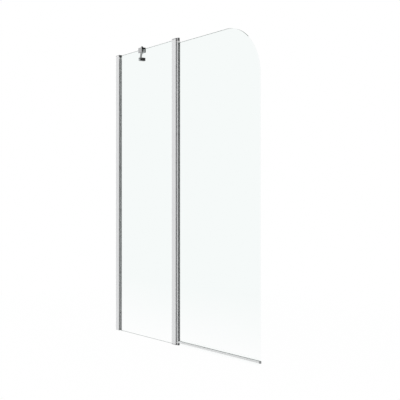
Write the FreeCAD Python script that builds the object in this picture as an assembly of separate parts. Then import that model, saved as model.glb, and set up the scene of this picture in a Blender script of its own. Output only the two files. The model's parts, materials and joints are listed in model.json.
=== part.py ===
import FreeCAD, Part
import math
import os

# Two-panel bath screen. A wall profile holds the fixed glass, whose free edge carries a hinge
# post. A second glass panel swings on two vertical pins at the post, inwards over the bath and
# outwards over the room. A short brace bar ties the top of the fixed glass back to the wall.
#
# Row frame, in millimetres: +X runs from the wall to the free end of the door, +Y points into
# the bath, +Z is up. The origin lies on the wall, in the middle of the glass, at the bath rim.

Vector = FreeCAD.Vector

# Overall sizes
SCREEN_HEIGHT = 1400.0
SCREEN_WIDTH = 1129.5
GLASS = 6.0                      # thickness of both panes
GLASS_ARRIS = 0.6                # ground edge of a pane
FIXED_GLASS_BOTTOM = 1.0
FIXED_GLASS_TOP = 1395.0
DOOR_GLASS_BOTTOM = 20.0
DOOR_GLASS_TOP = 1377.0
DOOR_CORNER_RADIUS = 220.0       # big round corner at the door's top free end

# Wall profile: a channel on the wall, and a glazing profile that slides in it
CHANNEL_DEPTH = 30.0
CHANNEL_WIDTH = 17.0
CHANNEL_BACK = 2.0
CHANNEL_CHEEK = 1.4
CHANNEL_TOP = 1397.0
GLAZING_START = 5.0
GLAZING_END = 30.6
GLAZING_WIDTH = 14.0
GLAZING_CHEEK = 1.5
GLAZING_WEB = 12.0
GLAZING_TOP = 1378.5
FIXED_GLASS_START = 15.0
WALL_SCREW_HEIGHTS = (100.0, 700.0, 1300.0)
WALL_SCREW_HOLE = 2.5            # radius
PROFILE_SCREW_X = 8.5
PROFILE_SCREW_HEIGHTS = (130.0, 730.0, 1270.0)
CAP_SKIRT_BOTTOM = 1389.0
CAP_END = 31.5

# Hinge post
POST_START = 513.3
POST_END = 546.3
POST_WIDTH = 20.0
POST_WALL = 1.8
POCKET_FLOOR = 527.5
FIXED_GLASS_END = 527.0
SCREW_PORT = 536.0               # X of the screw port
PORT_CORE = 1.6                  # radius of the hole that the cap screws cut into
PORT_OUTSIDE = 3.2
PORT_RIB = 1.8
CAP_SCREW_HEAD = 3.2             # radius of the recess for a cap screw's head
CAP_PLATE = 4.5
LIP_GROOVE_FLOOR = 543.9

# Hinge: a vertical axis through the round nose of the door profile
AXIS_X = 552.8
NOSE_RADIUS = 6.0
DOOR_PROFILE_END = 558.0
PROFILE_FLOOR = 549.6
PROFILE_POCKET = 8.0
POCKET_SLANT = 1.2               # slanted inner corners of that pocket
DOOR_GLASS_START = 551.0
PIN_RADIUS = 2.0
PIN_BORE = 2.05
TOP_NOSE_BOTTOM = 1385.5
BOTTOM_NOSE_TOP = 10.0
DOOR_PROFILE_BOTTOM = 12.5
DOOR_PROFILE_TOP = 1383.0
THRUST_GAP = 0.1                 # under the bottom bush, which carries the door
LIFT_GAP = 0.3                   # over the top bush

# Seal under the door
SEAL_START = 559.5
SEAL_BOTTOM = 11.0
SEAL_TOP = 19.5
SEAL_WIDTH = 9.6
SEAL_LEG_TOP = 30.0
FIN_BOTTOM = 0.5
END_CAP = 3.0

# Brace: clamp on the glass, bar, and bracket on the wall
CLAMP_X = 238.0
CLAMP_LENGTH = 34.0
CLAMP_WIDTH = 24.0
CLAMP_BOTTOM = 1380.0
CLAMP_TOP = 1403.8
CLAMP_SLOT = (-5.0, 6.5)         # Y of the glass slot's two walls
LINER_TOP = 0.9                  # liner over the edge of the glass
LINER_SIDE = 2.0                 # liner beside the glass
GRUB_SCREW_SPREAD = 10.0         # each side of the clamp's middle
GRUB_SCREW_SUNK = 0.5
BRACKET_PIN = Vector(9.0, 133.0, 0)
CLAMP_PIN = Vector(CLAMP_X, 0, 0)
BAR_WIDTH = 10.0
BAR_BOTTOM = 1395.5
BAR_TOP = 1401.3
TONGUE_BOTTOM = 1398.0
TONGUE_GAP = 0.3                 # above and below a tongue in its fork
EYE_RADIUS = 6.5
SWIVEL_PIN = 2.5
SWIVEL_BORE = 2.55
CLAMP_TONGUE = 23.0              # pin to the shoulder of the bar
BRACKET_TONGUE = 10.0
BRACKET_BOTTOM = 1389.0
BRACKET_TOP = 1405.0
BRACKET_DEPTH = 16.0
BRACKET_BLOCK = (140.3, 158.5)   # Y of the solid block beside the fork
BRACKET_SCREW_Y = 149.5
BRACKET_SCREW_HOLE = 2.6

TINY = 1e-6
X, Y, Z = Vector(1, 0, 0), Vector(0, 1, 0), Vector(0, 0, 1)
HALF = GLASS / 2


# Shape helpers

def block(x, y, z):
    """Box between pairs of low and high coordinates."""
    corner = Vector(x[0], y[0], z[0])
    return Part.makeBox(x[1] - x[0], y[1] - y[0], z[1] - z[0], corner)


def rod(radius, start, end):
    """Round bar from one point to another."""
    along = end - start
    return Part.makeCylinder(radius, along.Length, start, along)


def upright(radius, x, y, z):
    """Vertical round bar at x, y over a range of heights."""
    return rod(radius, Vector(x, y, z[0]), Vector(x, y, z[1]))


def outline(corners):
    """Closed flat wire through (u, v) or (u, v, radius) corners, rounded by tangent arcs."""
    points = [Vector(c[0], c[1], 0) for c in corners]
    radii = [c[2] if len(c) > 2 else 0.0 for c in corners]
    stretches = []
    for i, point in enumerate(points):
        back = (points[i - 1] - point).normalize()
        ahead = (points[(i + 1) % len(points)] - point).normalize()
        if radii[i] < TINY:
            stretches.append((point, point, None))
            continue
        half = back.getAngle(ahead) / 2
        run = radii[i] / math.tan(half)
        middle = (back + ahead).normalize() * (radii[i] / math.sin(half) - radii[i])
        start = point + back * run
        end = point + ahead * run
        stretches.append((start, end, Part.Arc(start, point + middle, end).toShape()))
    edges = []
    for i, (start, end, arc) in enumerate(stretches):
        if arc is not None:
            edges.append(arc)
        following = stretches[(i + 1) % len(stretches)][0]
        if (following - end).Length > TINY:
            edges.append(Part.makeLine(end, following))
    return Part.Wire(edges)


def upright_bar(corners, z):
    """Extrusion along Z of a section drawn in X and Y."""
    face = Part.Face(outline(corners))
    face.translate(Vector(0, 0, z[0]))
    return face.extrude(Vector(0, 0, z[1] - z[0]))


def level_bar(corners, x):
    """Extrusion along X of a section drawn in Y and Z."""
    face = Part.Face(outline(corners))
    face.rotate(Vector(0, 0, 0), Z, 90)
    face.rotate(Vector(0, 0, 0), Y, 90)
    return face.extrude(Vector(x[1] - x[0], 0, 0)).translate(Vector(x[0], 0, 0))


def both_sides(corners):
    """Section outline that is drawn for Y over 0, closed by its mirror image."""
    mirrored = [(c[0], -c[1], *c[2:]) for c in reversed(corners)]
    return list(corners) + mirrored


def turned(steps, foot, along):
    """Solid of revolution from (radius, height) steps, standing on foot and pointing along."""
    points = [Vector(0, 0, steps[0][1])]
    points += [Vector(radius, 0, height) for radius, height in steps]
    points.append(Vector(0, 0, steps[-1][1]))
    wire = Part.makePolygon(points + [points[0]])
    solid = Part.Face(wire).revolve(Vector(0, 0, 0), Z, 360)
    solid.Placement = FreeCAD.Placement(foot, FreeCAD.Rotation(Z, along))
    return solid


def hexagon(across, foot, along, depth):
    """Six-sided prism for a key socket."""
    radius = across / math.sqrt(3)
    turns = [math.radians(60 * i) for i in range(6)]
    points = [Vector(radius * math.cos(t), radius * math.sin(t), 0) for t in turns]
    prism = Part.Face(Part.makePolygon(points + [points[0]])).extrude(Vector(0, 0, depth))
    prism.Placement = FreeCAD.Placement(foot, FreeCAD.Rotation(Z, along))
    return prism


def edges_along(shape, axis, test=lambda middle: True):
    """Straight edges parallel to an axis whose middle passes a test."""
    found = []
    for edge in shape.Edges:
        if not isinstance(edge.Curve, (Part.Line, Part.LineSegment)):
            continue
        way = (edge.lastVertex().Point - edge.firstVertex().Point).normalize()
        if abs(way.dot(axis)) > 1 - TINY and test(edge.CenterOfMass):
            found.append(edge)
    return found


def edges_at_height(shape, z):
    """Edges that lie wholly in one level plane."""
    return [e for e in shape.Edges if abs(e.BoundBox.ZMin - z) + abs(e.BoundBox.ZMax - z) < 1e-4]


def ground_edges(pane):
    """Pane of glass with its edges ground to a small arris."""
    return pane.makeChamfer(GLASS_ARRIS, pane.Edges)


# Wall profile

def wall_channel():
    """U channel screwed to the wall, with a hole at each wall screw."""
    outside = CHANNEL_WIDTH / 2
    inside = outside - CHANNEL_CHEEK
    section = both_sides([
        (0, outside),
        (CHANNEL_DEPTH, outside, 0.4),
        (CHANNEL_DEPTH, inside),
        (CHANNEL_BACK, inside),
    ])
    channel = upright_bar(section, (0, CHANNEL_TOP))
    for height in WALL_SCREW_HEIGHTS:
        hole = rod(WALL_SCREW_HOLE, Vector(-1, 0, height), Vector(CHANNEL_BACK + 1, 0, height))
        channel = channel.cut(hole)
    return drilled_for_profile_screws(channel)


def drilled_for_profile_screws(profile):
    """Bath-side cheek with the holes of the screws that lock the two wall profiles."""
    for height in PROFILE_SCREW_HEIGHTS:
        start = Vector(PROFILE_SCREW_X, GLAZING_WIDTH / 2 - GLAZING_CHEEK - 1, height)
        end = Vector(PROFILE_SCREW_X, CHANNEL_WIDTH / 2 + 1, height)
        profile = profile.cut(rod(1.75, start, end))
    return profile


def wall_glazing_profile():
    """H-shaped profile: its tail slides in the wall channel, its mouth holds the glass."""
    outside = GLAZING_WIDTH / 2
    inside = outside - GLAZING_CHEEK
    lip = inside - 0.9
    section = both_sides([
        (GLAZING_WEB, inside),
        (GLAZING_START, inside),
        (GLAZING_START, outside),
        (GLAZING_END, outside, 0.6),
        (GLAZING_END, lip, 0.3),
        (GLAZING_END - 1.5, lip),
        (GLAZING_END - 1.5, inside),
        (GLAZING_WEB + GLAZING_CHEEK, inside),
    ])
    half = section[:8]
    mirror = section[8:]
    ring = half[1:] + mirror[:-1] + [mirror[-1], half[0]]
    return drilled_for_profile_screws(upright_bar(ring, (0, GLAZING_TOP)))


def wall_glazing_gasket():
    """Soft U that wraps the wall edge of the glass inside the glazing profile."""
    outside = GLAZING_WIDTH / 2 - GLAZING_CHEEK
    lip = outside - 0.9
    section = both_sides([
        (GLAZING_WEB + GLAZING_CHEEK, outside),
        (GLAZING_END - 1.5, outside),
        (GLAZING_END - 1.5, lip),
        (GLAZING_END + 0.3, lip, 0.4),
        (GLAZING_END + 0.3, HALF),
        (FIXED_GLASS_START, HALF),
    ])
    return upright_bar(section, (FIXED_GLASS_BOTTOM, GLAZING_TOP))


def profile_screws():
    """Pan-head screws through both profiles on the bath side."""
    outside = CHANNEL_WIDTH / 2
    steps = [(1.7, -6.5), (1.7, 0), (3.8, 0), (3.8, 2.0)]
    screws = []
    for height in PROFILE_SCREW_HEIGHTS:
        screws.append(turned(steps, Vector(PROFILE_SCREW_X, outside, height), Y))
    return Part.makeCompound(screws)


def screw_cover_caps():
    """Round caps snapped over the profile screws."""
    outside = CHANNEL_WIDTH / 2
    caps = []
    for height in PROFILE_SCREW_HEIGHTS:
        foot = Vector(PROFILE_SCREW_X, outside, height)
        room = rod(4.1, foot, foot + Y * 2.4)
        caps.append(rod(5.6, foot, foot + Y * 3.4).cut(room))
    return Part.makeCompound(caps)


def wall_top_cap():
    """Chrome cap on top of the wall profile, with a skirt over the open mouth."""
    outside = CHANNEL_WIDTH / 2
    inside = outside - CHANNEL_CHEEK
    plate = upright_bar([(0, -outside), (CAP_END, -outside, 1.2),
                         (CAP_END, outside, 1.2), (0, outside)],
                        (CHANNEL_TOP, SCREEN_HEIGHT))
    top_edges = [e for e in edges_at_height(plate, SCREEN_HEIGHT) if e.CenterOfMass.x > TINY]
    plate = plate.makeChamfer(0.5, top_edges)
    skirt = block((CHANNEL_DEPTH, CAP_END), (-outside + 0.4, outside - 0.4),
                  (CAP_SKIRT_BOTTOM, CHANNEL_TOP))
    plug = block((3, CHANNEL_DEPTH), (-inside + 0.1, inside - 0.1),
                 (CAP_SKIRT_BOTTOM, CHANNEL_TOP))
    glass_slot = block((FIXED_GLASS_START - 0.5, CAP_END + 1), (-HALF - 0.3, HALF + 0.3),
                       (CAP_SKIRT_BOTTOM - 1, FIXED_GLASS_TOP + 0.4))
    return plate.fuse([skirt, plug]).cut(glass_slot).removeSplitter()


def wall_top_plug():
    """White end plug between the glazing profile and the cap, with a tail down its back room."""
    outside = GLAZING_WIDTH / 2
    inside = outside - GLAZING_CHEEK
    head = block((GLAZING_START, GLAZING_END), (-outside, outside),
                 (GLAZING_TOP, CAP_SKIRT_BOTTOM))
    head = head.makeFillet(0.5, edges_along(head, Z, lambda m: m.x > GLAZING_WEB))
    tail = block((GLAZING_START + 0.5, GLAZING_WEB - 0.5), (-inside + 0.3, inside - 0.3),
                 (GLAZING_TOP - 14, GLAZING_TOP))
    tail = tail.makeChamfer(1.5, edges_at_height(tail, GLAZING_TOP - 14))
    glass_slot = block((FIXED_GLASS_START - 0.5, GLAZING_END + 1), (-HALF - 0.2, HALF + 0.2),
                       (GLAZING_TOP - 1, CAP_SKIRT_BOTTOM + 1))
    return head.cut(glass_slot).fuse(tail).removeSplitter()


# Fixed glass and hinge post

def fixed_glass():
    """Fixed pane between the wall profile and the post."""
    return ground_edges(block((FIXED_GLASS_START, FIXED_GLASS_END), (-HALF, HALF),
                              (FIXED_GLASS_BOTTOM, FIXED_GLASS_TOP)))


def post_section(z, right_corner=2.5):
    """Plain outer block of the hinge post's section."""
    half = POST_WIDTH / 2
    return upright_bar([(POST_START, -half, 1.0), (POST_END, -half, right_corner),
                        (POST_END, half, right_corner), (POST_START, half, 1.0)], z)


def hinge_post():
    """Extruded post: glass pocket, hollow room with a screw port, groove for the lip seal."""
    z = (CAP_PLATE, SCREEN_HEIGHT - CAP_PLATE)
    cut_z = (z[0] - 1, z[1] + 1)
    inside = POST_WIDTH / 2 - POST_WALL
    mouth = 5.0
    pocket = upright_bar(both_sides([
        (POST_START - 1, mouth),
        (POST_START + 2.0, mouth),
        (POST_START + 2.0, inside),
        (POST_START + 10.2, inside),
        (POST_START + 10.2, mouth),
        (POST_START + 11.7, mouth),
        (POST_START + 11.7, inside),
        (POCKET_FLOOR, inside),
    ]), cut_z)
    room = upright_bar(both_sides([
        (POCKET_FLOOR + POST_WALL, inside),
        (POST_END - POST_WALL, inside, 1.5),
        (POST_END - POST_WALL, 3.8),
        (POST_END - POST_WALL - 2.3, 3.8),
    ]), cut_z)
    post = post_section(z).cut(pocket).cut(room)
    rib = block((POCKET_FLOOR + POST_WALL - 0.5, SCREW_PORT), (-PORT_RIB / 2, PORT_RIB / 2), z)
    port = upright(PORT_OUTSIDE, SCREW_PORT, 0, z).fuse(rib)
    port = port.cut(upright(PORT_CORE, SCREW_PORT, 0, z))
    slit = block((SCREW_PORT, SCREW_PORT + PORT_OUTSIDE + 1), (-0.6, 0.6), z)
    post = post.fuse(port.cut(slit))
    groove = upright_bar(both_sides([
        (LIP_GROOVE_FLOOR, 2.2),
        (LIP_GROOVE_FLOOR + 1.6, 2.2),
        (LIP_GROOVE_FLOOR + 1.6, 1.2),
        (POST_END + 1, 1.2),
    ]), cut_z)
    return post.cut(groove).removeSplitter()


def post_glazing_gaskets():
    """Two soft strips that press the fixed glass from both sides of the pocket."""
    inside = POST_WIDTH / 2 - POST_WALL
    section = [
        (POST_START + 0.6, HALF),
        (POST_START + 11.0, HALF),
        (POST_START + 10.0, HALF + 1.8),
        (POST_START + 10.0, inside - 0.2, 0.6),
        (POST_START + 2.2, inside - 0.2, 0.6),
        (POST_START + 2.2, 4.8),
        (POST_START + 0.6, 4.6, 0.5),
    ]
    z = (CAP_PLATE + 0.1, FIXED_GLASS_TOP)
    strip = upright_bar(section, z)
    other = strip.mirror(Vector(0, 0, 0), Y)
    return Part.makeCompound([strip, other])


def post_lip_seal():
    """Soft strip in the post's groove that closes the gap to the door profile's nose."""
    return upright_bar(both_sides([
        (LIP_GROOVE_FLOOR + 0.1, 2.0),
        (LIP_GROOVE_FLOOR + 1.5, 2.0),
        (LIP_GROOVE_FLOOR + 1.5, 1.1),
        (POST_END, 1.1),
        (POST_END, 1.5),
        (POST_END + 0.2, 1.5, 0.15),
    ]), (BOTTOM_NOSE_TOP + 0.1, TOP_NOSE_BOTTOM - 0.1))


# Hinge

def nose(z):
    """Round-ended tongue from the post's face out over the hinge axis."""
    bar = block((POST_END, AXIS_X), (-NOSE_RADIUS, NOSE_RADIUS), z)
    return bar.fuse(upright(NOSE_RADIUS, AXIS_X, 0, z))


def hinge_cap(plate_z, nose_z, face_z, way):
    """End cap of the post: plate, nose for the pivot pin, two lugs and a sunk screw hole.

    face_z is the cap's outer face and way points from it into the post.
    """
    cap = post_section(plate_z).fuse(nose(nose_z)).removeSplitter()
    inner_z = face_z + way * CAP_PLATE
    inside = POST_WIDTH / 2 - POST_WALL
    lug_z = sorted((inner_z, inner_z + way * 4.0))
    for y in ((inside - 2.2, inside - 0.2), (0.2 - inside, 2.2 - inside)):
        cap = cap.fuse(block((POCKET_FLOOR + POST_WALL + 1, POST_END - POST_WALL - 1.7), y, lug_z))
    recess_z = sorted((face_z - way, face_z + way * 2.2))
    hole_z = sorted((face_z, face_z + way * (CAP_PLATE + 1)))
    cap = cap.cut(upright(CAP_SCREW_HEAD, SCREW_PORT, 0, recess_z))
    cap = cap.cut(upright(PORT_CORE + 0.3, SCREW_PORT, 0, hole_z))
    bore_z = sorted((face_z + way * 3.0, face_z + way * 16.0))
    return cap.cut(upright(PIN_RADIUS, AXIS_X, 0, bore_z))


def hinge_top_cap():
    """Cap on top of the post, whose nose holds the upper pivot pin."""
    plate = (SCREEN_HEIGHT - CAP_PLATE, SCREEN_HEIGHT)
    return hinge_cap(plate, (TOP_NOSE_BOTTOM, SCREEN_HEIGHT), SCREEN_HEIGHT, -1)


def hinge_bottom_cap():
    """Cap under the post, notched for the glass, whose nose carries the door's weight."""
    cap = hinge_cap((0, CAP_PLATE), (0, BOTTOM_NOSE_TOP), 0, 1)
    notch = block((POST_START - 1, POCKET_FLOOR), (-HALF - 0.3, HALF + 0.3), (-1, CAP_PLATE + 1))
    return cap.cut(notch)


def hinge_cap_screws():
    """Socket screws, heads sunk in the caps, that hold both caps in the post's screw port."""
    head = CAP_SCREW_HEAD - 0.1
    shank = PORT_CORE - 0.05
    steps = [(head, 0.3), (head, 2.2), (shank, 2.2), (shank, 18)]
    screws = []
    for face_z, way in ((SCREEN_HEIGHT, -1), (0, 1)):
        foot = Vector(SCREW_PORT, 0, face_z)
        socket = hexagon(2.5, foot, Z * way, 1.6)
        screws.append(turned(steps, foot, Z * way).cut(socket))
    return Part.makeCompound(screws)


def pivot_pin(start_z, end_z):
    """Steel pin pressed in a cap's nose."""
    way = 1 if end_z > start_z else -1
    length = abs(end_z - start_z)
    steps = [(PIN_RADIUS, 0), (PIN_RADIUS, length)]
    return turned(steps, Vector(AXIS_X, 0, start_z), Z * way)


def nosed_bar(z):
    """Door profile's outer shape: a round nose about the hinge axis and a square end."""
    radius = NOSE_RADIUS
    return upright_bar([
        (DOOR_PROFILE_END, -radius, 0.4),
        (DOOR_PROFILE_END, radius, 0.4),
        (AXIS_X - radius, radius, radius - TINY),
        (AXIS_X - radius, -radius, radius - TINY),
    ], z)


def pocket_section(end, inset=0.0):
    """Outline of the door profile's pocket up to an end, with two slanted inner corners."""
    half = PROFILE_POCKET / 2 - inset
    floor = PROFILE_FLOOR + inset
    return both_sides([
        (floor, half - POCKET_SLANT),
        (floor + POCKET_SLANT, half),
        (end, half),
    ])


def door_profile():
    """Slim profile on the door's hinge edge, with the pocket for the glass and the bushes."""
    z = (DOOR_PROFILE_BOTTOM, DOOR_PROFILE_TOP)
    pocket = upright_bar(pocket_section(DOOR_PROFILE_END + 1), (z[0] - 1, z[1] + 1))
    return nosed_bar(z).cut(pocket)


def pivot_bush(flange_z, body_z):
    """Nylon bush: a flange that bears on the nose, and a body that plugs the door profile."""
    body = upright_bar(pocket_section(DOOR_PROFILE_END - 0.3, 0.03), body_z)
    flange = nosed_bar(flange_z)
    reach = (min(flange_z[0], body_z[0]) - 1, max(flange_z[1], body_z[1]) + 1)
    return flange.fuse(body).cut(upright(PIN_BORE, AXIS_X, 0, reach)).removeSplitter()


def door_glazing_gasket():
    """Thin U of bonding gasket between the door glass and its profile."""
    end = DOOR_PROFILE_END + 0.3
    z = (DOOR_GLASS_BOTTOM, DOOR_GLASS_TOP)
    return upright_bar(pocket_section(end), z).cut(block((DOOR_GLASS_START, end), (-HALF, HALF), z))


def door_glass():
    """Swinging pane, with one big round corner at the top of its free edge."""
    face = Part.Face(outline([
        (DOOR_GLASS_START, DOOR_GLASS_BOTTOM),
        (SCREEN_WIDTH, DOOR_GLASS_BOTTOM, 2.0),
        (SCREEN_WIDTH, DOOR_GLASS_TOP, DOOR_CORNER_RADIUS),
        (DOOR_GLASS_START, DOOR_GLASS_TOP),
    ]))
    face.rotate(Vector(0, 0, 0), X, 90)
    return ground_edges(face.extrude(Vector(0, GLASS, 0)).translate(Vector(0, -HALF, 0)))


# Seal under the door

def door_seal_rail():
    """Grey hollow rail under the glass."""
    half = SEAL_WIDTH / 2
    x = (SEAL_START, SCREEN_WIDTH - END_CAP)
    skin = level_bar([(-half, SEAL_BOTTOM, 1.6), (half, SEAL_BOTTOM, 1.6),
                      (half, SEAL_TOP, 0.6), (-half, SEAL_TOP, 0.6)], x)
    wall = 1.2
    room = block((x[0] - 1, x[1] + 1), (-half + wall, half - wall),
                 (SEAL_BOTTOM + wall, SEAL_TOP - wall))
    return skin.cut(room)


def door_seal_clip():
    """Clear clip on the rail, whose two legs grip the foot of the glass."""
    foot = HALF + 1.2
    tip = HALF + 0.7
    section = [
        (-foot, SEAL_TOP), (foot, SEAL_TOP), (tip, SEAL_LEG_TOP, 0.3), (HALF, SEAL_LEG_TOP),
        (HALF, DOOR_GLASS_BOTTOM), (-HALF, DOOR_GLASS_BOTTOM), (-HALF, SEAL_LEG_TOP),
        (-tip, SEAL_LEG_TOP, 0.3),
    ]
    return level_bar(section, (SEAL_START, SCREEN_WIDTH - END_CAP))


def door_seal_fins():
    """Clear soft fins that wipe the bath rim."""
    section = [
        (-3.4, SEAL_BOTTOM), (3.4, SEAL_BOTTOM), (3.4, SEAL_BOTTOM - 0.9),
        (4.5, FIN_BOTTOM), (3.8, FIN_BOTTOM), (2.4, SEAL_BOTTOM - 0.9),
        (-2.4, SEAL_BOTTOM - 0.9), (-3.8, FIN_BOTTOM), (-4.5, FIN_BOTTOM),
        (-3.4, SEAL_BOTTOM - 0.9),
    ]
    return level_bar(section, (SEAL_START, SCREEN_WIDTH - END_CAP))


def seal_end_cap():
    """Grey cap on the seal's free end, with a spigot in the rail."""
    half = SEAL_WIDTH / 2
    start = SCREEN_WIDTH - END_CAP
    cap = level_bar([(-half, SEAL_BOTTOM - 1, 1.6), (half, SEAL_BOTTOM - 1, 1.6),
                     (half, SEAL_TOP, 0.6), (-half, SEAL_TOP, 0.6)], (start, SCREEN_WIDTH + 0.5))
    spigot = block((start - 9, start), (-half + 1.3, half - 1.3),
                   (SEAL_BOTTOM + 1.3, SEAL_TOP - 1.3))
    return cap.fuse(spigot)


# Brace

def clamp_body():
    """Clamp over the top edge of the fixed glass, with a level fork for the brace bar.

    The fork is closed on the side away from the wall.
    """
    x = (CLAMP_X - CLAMP_LENGTH / 2, CLAMP_X + CLAMP_LENGTH / 2)
    half = CLAMP_WIDTH / 2
    body = block(x, (-half, half), (CLAMP_BOTTOM, CLAMP_TOP))
    body = body.makeChamfer(1.5, edges_along(body, Z))
    body = body.makeChamfer(0.7, edges_at_height(body, CLAMP_TOP))
    wide = (x[0] - 1, x[1] + 1)
    slot_top = FIXED_GLASS_TOP + LINER_TOP
    body = body.cut(block(wide, CLAMP_SLOT, (CLAMP_BOTTOM - 1, slot_top)))
    fork_z = (TONGUE_BOTTOM - TONGUE_GAP, BAR_TOP + TONGUE_GAP)
    body = body.cut(block((x[0] - 1, CLAMP_X + 8.5), (-EYE_RADIUS - 0.7, half + 1), fork_z))
    body = body.cut(upright(SWIVEL_PIN, CLAMP_X, 0, (slot_top - 1, CLAMP_TOP + 1)))
    for screw in grub_screw_places():
        body = body.cut(rod(SWIVEL_PIN, screw, screw + Y * (half - CLAMP_SLOT[1] + 1)))
    return body


def grub_screw_places():
    """Inner ends of the two grub screws, on the pressure plate."""
    height = (CLAMP_BOTTOM + FIXED_GLASS_TOP) / 2
    return [Vector(CLAMP_X + side * GRUB_SCREW_SPREAD, CLAMP_SLOT[1], height)
            for side in (-1, 1)]


def clamp_liner():
    """Soft U liner between the clamp and the glass."""
    x = (CLAMP_X - CLAMP_LENGTH / 2 + 1, CLAMP_X + CLAMP_LENGTH / 2 - 1)
    top = FIXED_GLASS_TOP + LINER_TOP
    outside = HALF + LINER_SIDE
    skin = block(x, (-outside, outside), (CLAMP_BOTTOM + 1, top))
    return skin.cut(block((x[0] - 1, x[1] + 1), (-HALF, HALF), (CLAMP_BOTTOM, FIXED_GLASS_TOP)))


def clamp_pressure_plate():
    """Steel plate that spreads the grub screws' push."""
    x = (CLAMP_X - CLAMP_LENGTH / 2 + 2, CLAMP_X + CLAMP_LENGTH / 2 - 2)
    return block(x, (HALF + LINER_SIDE, CLAMP_SLOT[1]), (CLAMP_BOTTOM + 2, FIXED_GLASS_TOP - 1))


def clamp_grub_screws():
    """Two socket grub screws in the bath-side jaw."""
    screws = []
    length = CLAMP_WIDTH / 2 - CLAMP_SLOT[1] - GRUB_SCREW_SUNK
    for inner in grub_screw_places():
        steps = [(2.4, 0), (2.4, length)]
        outer = inner + Y * length
        screws.append(turned(steps, inner, Y).cut(hexagon(2.5, outer - Y * 2.5, Y, 3)))
    return Part.makeCompound(screws)


def swivel_pin(foot, shank, head):
    """Shoulder screw: plain shank, and a head from (radius, height) steps with a key socket."""
    steps = [(SWIVEL_PIN, 0), (SWIVEL_PIN, shank)]
    steps += [(radius, shank + height) for radius, height in head]
    top = foot + Z * steps[-1][1]
    return turned(steps, foot, Z).cut(hexagon(3.0, top - Z * 1.5, Z, 2))


def clamp_swivel_pin():
    """Round-headed pin that the bar's near eye turns on."""
    foot = Vector(CLAMP_X, 0, FIXED_GLASS_TOP + LINER_TOP + 0.2)
    return swivel_pin(foot, CLAMP_TOP - foot.z, [(5.5, 0), (5.5, 6.0), (4.0, 7.7)])


def brace_bar():
    """Rectangular bar with a thin round-eyed tongue at each end."""
    length = (BRACKET_PIN - CLAMP_PIN).Length
    half = BAR_WIDTH / 2
    bar = block((CLAMP_TONGUE, length - BRACKET_TONGUE), (-half, half), (BAR_BOTTOM, BAR_TOP))
    bar = bar.makeFillet(1.5, edges_along(bar, X))
    tongue_z = (TONGUE_BOTTOM, BAR_TOP)
    tongue = block((0, length), (-half + 0.4, half - 0.4), tongue_z)
    for x in (0, length):
        tongue = tongue.fuse(upright(EYE_RADIUS, x, 0, tongue_z))
    bar = bar.fuse(tongue)
    for x in (0, length):
        bar = bar.cut(upright(SWIVEL_BORE, x, 0, (BAR_BOTTOM - 1, BAR_TOP + 1)))
    bar = bar.removeSplitter()
    reach = BRACKET_PIN - CLAMP_PIN
    turn = math.degrees(math.atan2(reach.y, reach.x))
    bar.Placement = FreeCAD.Placement(CLAMP_PIN, FreeCAD.Rotation(Z, turn))
    return bar


def bracket_body():
    """Wall bracket: solid block with the wall screw's hole, and a fork for the bar's far eye."""
    z = (BRACKET_BOTTOM, BRACKET_TOP)
    lug_radius = EYE_RADIUS + 0.5
    body = block((0, BRACKET_DEPTH), BRACKET_BLOCK, z)
    body = body.makeChamfer(1.0, edges_along(body, X, lambda m: m.y > BRACKET_SCREW_Y))
    pin = BRACKET_PIN
    lugs = upright(lug_radius, pin.x, pin.y, z)
    lugs = lugs.fuse(block((0, pin.x), (pin.y - lug_radius, pin.y), z))
    lugs = lugs.fuse(block((0, BRACKET_DEPTH), (pin.y, BRACKET_BLOCK[0]), z))
    fork_z = (TONGUE_BOTTOM - TONGUE_GAP, BAR_TOP + TONGUE_GAP)
    fork = block((2.2, 20), (pin.y - lug_radius - 1, BRACKET_BLOCK[0] - 0.2), fork_z)
    body = body.fuse(lugs).cut(fork).removeSplitter()
    body = body.cut(upright(SWIVEL_PIN, pin.x, pin.y, (z[0] + 1.5, z[1] + 1)))
    middle = (z[0] + z[1]) / 2
    wall_end = Vector(-1, BRACKET_SCREW_Y, middle)
    body = body.cut(rod(BRACKET_SCREW_HOLE, wall_end, wall_end + X * (BRACKET_DEPTH + 2)))
    seat = Vector(8.0, BRACKET_SCREW_Y, middle)
    return body.cut(rod(5.0, seat, seat + X * BRACKET_DEPTH))


def bracket_swivel_pin():
    """Pin that the bar's far eye turns on, with a low flat head."""
    foot = Vector(BRACKET_PIN.x, BRACKET_PIN.y, BRACKET_BOTTOM + 1.5)
    return swivel_pin(foot, BRACKET_TOP - foot.z, [(4.5, 0), (4.5, 2.0)])


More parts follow.
